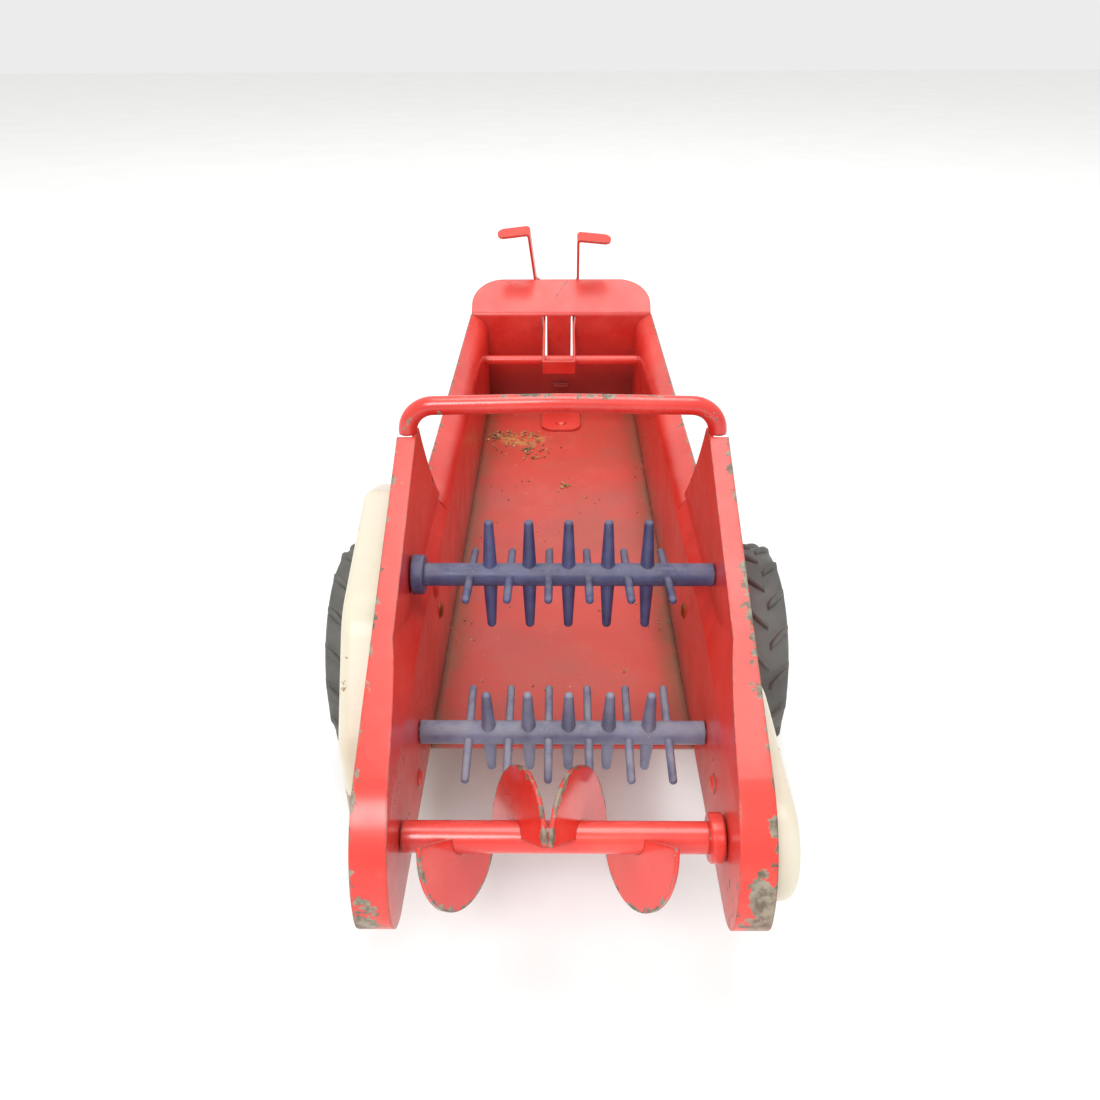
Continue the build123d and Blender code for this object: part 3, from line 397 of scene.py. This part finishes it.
def cloudy_plastic(name, light, deep, dusty, amount):
    """Moulded plastic, slightly cloudy, with grey dust on the faces that look up."""
    g = Graph(name)
    colour = g.mix(g.ramp(g.noise(110, 3, 0.6), 0.35, 0.65), deep, light)
    up = g.ramp(g.axes(g.normal)[2], 0.1, 0.95)
    dust = g.math("MULTIPLY", g.ramp(g.noise(240, 5, 0.7), 0.30, 0.62), up)
    corners = g.math("MULTIPLY", g.hollow(0.004, 0.4, 0.9), amount * 0.6)
    dust = g.math("MAXIMUM", g.math("MULTIPLY", dust, amount), corners)
    colour = g.mix(dust, colour, dusty)
    flecks = g.ramp(g.noise(800, 2, 0.5), 0.75, 0.78)
    colour = g.mix(flecks, colour, (0.62, 0.55, 0.42))
    rough = g.ramp(dust, 0.0, 0.6, 0.34, 0.75)
    normal = g.bump(g.noise(600, 3, 0.6), 0.12, 0.00008, g.rounded(0.0004))
    return g.finish(
        Base_Color=colour, Roughness=rough, Normal=normal, Specular_IOR_Level=0.45,
        Subsurface_Weight=0.15, Subsurface_Radius=(0.002, 0.0022, 0.003), Subsurface_Scale=1.0,
    )


plastic_upper = cloudy_plastic(
    "plastic_upper", (0.070, 0.078, 0.185), (0.040, 0.044, 0.110), (0.20, 0.190, 0.225), 0.6,
)
plastic_lower = cloudy_plastic(
    "plastic_lower", (0.165, 0.180, 0.270), (0.100, 0.108, 0.185), (0.27, 0.265, 0.30), 0.8,
)


def rubber(name, base, dusty, bump_scale=700):
    """Dull rubber with dust in hollows and lighter scuffs on edges."""
    g = Graph(name)
    colour = g.mix(g.ramp(g.noise(70, 4, 0.6), 0.35, 0.7), base, tuple(c * 1.45 for c in base))
    dust = g.math("MULTIPLY", g.hollow(0.0035, 0.35, 0.95), g.ramp(g.noise(160, 5, 0.7), 0.3, 0.65))
    colour = g.mix(g.math("MULTIPLY", dust, 0.55), colour, dusty)
    scuff = g.math("MULTIPLY", g.edge(0.0006, 0.02, 0.25), g.ramp(g.noise(210, 4, 0.6), 0.4, 0.6))
    colour = g.mix(g.math("MULTIPLY", scuff, 0.4), colour, tuple(c * 2.4 for c in base))
    normal = g.bump(g.noise(bump_scale, 4, 0.65), 0.25, 0.00012, g.rounded(0.0005))
    rough = g.ramp(g.noise(130, 3, 0.6), 0.3, 0.7, 0.52, 0.72)
    return g.finish(Base_Color=colour, Roughness=rough, Normal=normal, Specular_IOR_Level=0.4)


tyre_rubber = rubber("tyre_rubber_old", (0.085, 0.083, 0.078), (0.22, 0.20, 0.17))
belt_rubber = rubber("belt_rubber_dull", (0.018, 0.018, 0.018), (0.09, 0.08, 0.07), 1200)


def metal(name, base, dark, rough_low, rough_high):
    """Plain metal with stains, grime in corners and a grain along X."""
    g = Graph(name)
    colour = g.mix(g.ramp(g.noise(240, 5, 0.7), 0.35, 0.68), base, dark)
    grime = g.math("MULTIPLY", g.hollow(0.003, 0.35, 0.95), 0.6)
    colour = g.mix(grime, colour, (0.07, 0.05, 0.04))
    rough = g.ramp(g.noise(320, 4, 0.6, stretch=(0.2, 1, 1)), 0.3, 0.7, rough_low, rough_high)
    normal = g.bump(g.noise(900, 3, 0.6, stretch=(0.15, 1, 1)), 0.12, 0.00005, g.rounded(0.0003))
    return g.finish(Base_Color=colour, Roughness=rough, Normal=normal, Metallic=1.0)


steel = metal("steel_dull", (0.36, 0.34, 0.31), (0.17, 0.13, 0.10), 0.30, 0.55)
plated = metal("steel_plated", (0.55, 0.54, 0.52), (0.33, 0.30, 0.26), 0.20, 0.42)
brass = metal("brass_dull", (0.42, 0.27, 0.11), (0.20, 0.12, 0.05), 0.30, 0.50)
pulley_plastic = cloudy_plastic(
    "pulley_plastic", (0.035, 0.033, 0.031), (0.022, 0.021, 0.020), (0.12, 0.10, 0.08), 0.4,
)

FINISHES = {
    red_panel: ("left_side_panel", "right_side_panel"),
    red_front_shaded: ("front_panel",),
    red_floor: ("floor_pan",),
    red_arch: ("arch_rod",),
    red_auger: ("auger_tube", "auger_collar", "auger_flights"),
    red_parts: (
        "cross_bar", "control_levers", "drawbar", "drawbar_stand", "drawbar_rivets", "left_axle_plate",
        "right_axle_plate", "left_shield_rivets", "right_shield_rivet",
    ),
    cream: ("left_shield", "right_shield", "left_rim", "right_rim"),
    plastic_upper: ("upper_beater",),
    plastic_lower: ("lower_beater",),
    pulley_plastic: (
        "upper_beater_pulley", "lower_beater_drive_pulley", "lower_beater_auger_pulley", "auger_pulley",
        "axle_pulley",
    ),
    steel: ("upper_beater_shaft", "lower_beater_shaft", "auger_shaft", "axle"),
    plated: ("axle_caps",),
    brass: ("axle_plate_rivets",),
    belt_rubber: ("wheel_belt", "beater_belt", "auger_belt"),
    tyre_rubber: ("left_tyre", "right_tyre"),
}
for material, names in FINISHES.items():
    for name in names:
        for slot in nodes[name].material_slots:
            slot.material = material


# ------------------------------------------------------------------ tyres
def lugged_tyre(name, node):
    """A farm tyre in one mesh: a rounded carcass with two rows of raised diagonal bars."""
    low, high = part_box(node)
    centre = (low + high) / 2
    half = (high.x - low.x) / 2
    radius = (high.z - low.z) / 2
    bead = 18.5 * MM
    lug = 1.5 * MM
    crown = radius - lug
    steps = 240
    # cross-section from bead to bead, as (x / half, radius)
    profile = [
        (-0.83, bead), (-0.93, bead + 0.7 * MM), (-0.985, bead + 2.2 * MM), (-1.0, bead + 4.2 * MM),
        (-0.985, bead + 6.0 * MM), (-0.93, bead + 7.7 * MM), (-0.80, crown - 0.9 * MM),
        (-0.58, crown - 0.35 * MM), (-0.30, crown - 0.08 * MM), (0.0, crown),
    ]
    profile += [(-u, r) for u, r in profile[-2::-1]]
    bm = bmesh.new()
    rings = []
    for i in range(steps):
        a = 2 * math.pi * i / steps
        rings.append([
            bm.verts.new((centre.x + u * half, centre.y + r * math.sin(a), centre.z + r * math.cos(a)))
            for u, r in profile
        ])
    for i in range(steps):
        a, b = rings[i], rings[(i + 1) % steps]
        for j in range(len(profile) - 1):
            bm.faces.new((a[j], a[j + 1], b[j + 1], b[j]))
        bm.faces.new((a[-1], a[0], b[0], b[-1]))

    def surface(u, angle, lift):
        """A point on the carcass at u across and angle round, raised by lift."""
        for (u0, r0), (u1, r1) in zip(profile, profile[1:]):
            if u0 <= u <= u1 and u1 > u0:
                r = r0 + (r1 - r0) * (u - u0) / (u1 - u0)
                break
        r = min(r + lift, radius)
        return (centre.x + u * half, centre.y + r * math.sin(angle), centre.z + r * math.cos(angle))

    bars = 17
    wide = 1.25 * MM / radius
    stations = 7                # cross-sections along a bar
    inner, reach = 0.04, 0.935  # where a bar starts and how far it runs out, as x / half
    sweep = 0.20                # how far round a bar leans on its way out, in radians
    root = -0.2 * MM            # a bar's sides end below the carcass
    for row in (-1, 1):
        for k in range(bars):
            start = 2 * math.pi * (k + (0.5 if row > 0 else 0.0)) / bars
            sections = []
            for s in range(stations):
                t = s / (stations - 1)
                u = row * (inner + reach * t)
                angle = start + sweep * t
                w = wide * (0.55 + 0.25 * math.sin(math.pi * min(1, t * 1.3)))
                lift = lug * (0.75 + 0.25 * math.sin(math.pi * t)) * (1.0 if t < 0.9 else 0.65)
                sections.append([
                    bm.verts.new(surface(u, angle - w * 1.5, root)),
                    bm.verts.new(surface(u, angle - w * 0.75, lift)),
                    bm.verts.new(surface(u, angle + w * 0.75, lift)),
                    bm.verts.new(surface(u, angle + w * 1.5, root)),
                ])
            for a, b in zip(sections, sections[1:]):
                for j in range(4):
                    bm.faces.new((a[j], a[(j + 1) % 4], b[(j + 1) % 4], b[j]))
            bm.faces.new(sections[0])
            bm.faces.new(sections[-1])
    bmesh.ops.recalc_face_normals(bm, faces=bm.faces)
    mesh = bpy.data.meshes.new(name)
    bm.to_mesh(mesh)
    bm.free()
    for polygon in mesh.polygons:
        polygon.use_smooth = True
    mesh.materials.append(tyre_rubber)
    piece = bpy.data.objects.new(name, mesh)
    bpy.context.scene.collection.objects.link(piece)
    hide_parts(node)
    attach(piece, "wheels")


lugged_tyre("left_tyre_lugged", "left_tyre")
lugged_tyre("right_tyre_lugged", "right_tyre")

# ------------------------------------------------------------------ straw and crumbs left on the floor
random.seed(41)
straw = Graph("straw")
straw.finish(
    Base_Color=straw.mix(
        straw.ramp(straw.noise(600, 3, 0.6), 0.4, 0.6), (0.50, 0.36, 0.15), (0.20, 0.12, 0.06),
    ),
    Roughness=0.8, Normal=straw.bump(straw.noise(1500, 3, 0.6), 0.4, 0.0001),
)
floor_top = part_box("floor_pan")[1].z
TURN = 6.28                 # a full turn, for random headings


def crumb(bm, x, y, z, length, width, turn, tilt):
    """A ragged flat flake lying on the floor."""
    count = 7               # corners of a flake
    top, bottom = [], []
    for i in range(count):
        a = 2 * math.pi * i / count
        k = random.uniform(0.6, 1.0)
        px, py = math.cos(a) * length * k, math.sin(a) * width * k
        qx = px * math.cos(turn) - py * math.sin(turn)
        qy = px * math.sin(turn) + py * math.cos(turn)
        lift = max(0.0, math.cos(a)) * tilt
        top.append(bm.verts.new((x + qx, y + qy, z + 0.00025 + lift + random.uniform(0, 0.00015))))
        bottom.append(bm.verts.new((x + qx * 0.9, y + qy * 0.9, z + lift * 0.6)))
    bm.faces.new(top)
    bm.faces.new(bottom[::-1])
    for i in range(count):
        j = (i + 1) % count
        bm.faces.new((top[j], top[i], bottom[i], bottom[j]))


bm = bmesh.new()
# a drift along the front left corner
for _ in range(70):
    x = random.uniform(-0.0305, -0.009)
    y = 0.0695 - abs(random.gauss(0, 0.007))
    crumb(
        bm, x, y, floor_top, random.uniform(0.0004, 0.0013), random.uniform(0.0002, 0.0006),
        random.uniform(0, TURN), random.uniform(0, 0.0006),
    )
# small heaps, as (x, y, flakes, spread)
HEAPS = (
    (-0.0135, 0.0525, 14, 0.0020), (-0.0125, 0.046, 12, 0.0022), (-0.006, 0.0505, 7, 0.0025),
    (0.0012, 0.0195, 12, 0.0012),
)
for cx, cy, n, spread in HEAPS:
    for _ in range(n):
        crumb(
            bm, random.gauss(cx, spread), random.gauss(cy, spread), floor_top,
            random.uniform(0.0005, 0.0014), random.uniform(0.0002, 0.0006),
            random.uniform(0, TURN), random.uniform(0, 0.0009),
        )
# fine crumbs over the whole floor
for _ in range(60):
    crumb(
        bm, random.uniform(-0.030, 0.030), random.uniform(-0.105, 0.066), floor_top,
        random.uniform(0.0002, 0.0006), random.uniform(0.0001, 0.0003), random.uniform(0, TURN), 0.0001,
    )
bmesh.ops.recalc_face_normals(bm, faces=bm.faces)
mesh = bpy.data.meshes.new("straw_crumbs")
bm.to_mesh(mesh)
bm.free()
mesh.materials.append(straw.material)
crumbs = bpy.data.objects.new("straw_crumbs", mesh)
bpy.context.scene.collection.objects.link(crumbs)
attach(crumbs, "chassis")

# ------------------------------------------------------------------ floor and light
STAGE_HALF = 3.0
floor_mesh = bpy.data.meshes.new("stage_floor")
floor_mesh.from_pydata(
    [(x * STAGE_HALF, y * STAGE_HALF, 0) for x, y in ((-1, -1), (1, -1), (1, 1), (-1, 1))],
    [], [(0, 1, 2, 3)],
)
stage = bpy.data.objects.new("stage_floor", floor_mesh)
bpy.context.scene.collection.objects.link(stage)
pale = Graph("stage_pale")
pale_colour = pale.mix(
    pale.ramp(pale.noise(14, 4, 0.6), 0.3, 0.7), (0.93, 0.925, 0.915), (0.955, 0.952, 0.945),
)
pale.finish(Base_Color=pale_colour, Roughness=0.9, Specular_IOR_Level=0.1)
floor_mesh.materials.append(pale.material)

world = bpy.data.worlds.new("studio")
world.use_nodes = True
background = world.node_tree.nodes["Background"]
background.inputs["Color"].default_value = (1.0, 1.0, 1.0, 1.0)
background.inputs["Strength"].default_value = 0.84
bpy.context.scene.world = world


def area_light(name, position, target, size, power):
    """A round white light that faces the target."""
    data = bpy.data.lights.new(name, "AREA")
    data.shape = "DISK"
    data.size = size
    data.energy = power
    light = bpy.data.objects.new(name, data)
    light.location = position
    light.rotation_euler = (Vector(target) - Vector(position)).to_track_quat("-Z", "Y").to_euler()
    bpy.context.scene.collection.objects.link(light)


area_light("soft_top", (0.10, 0.05, 1.5), (0, -0.02, 0.05), 0.9, 9.0)
area_light("soft_front", (-0.25, -0.95, 0.95), (0, -0.12, 0.05), 0.5, 7.0)

bpy.context.scene.view_settings.view_transform = "Standard"
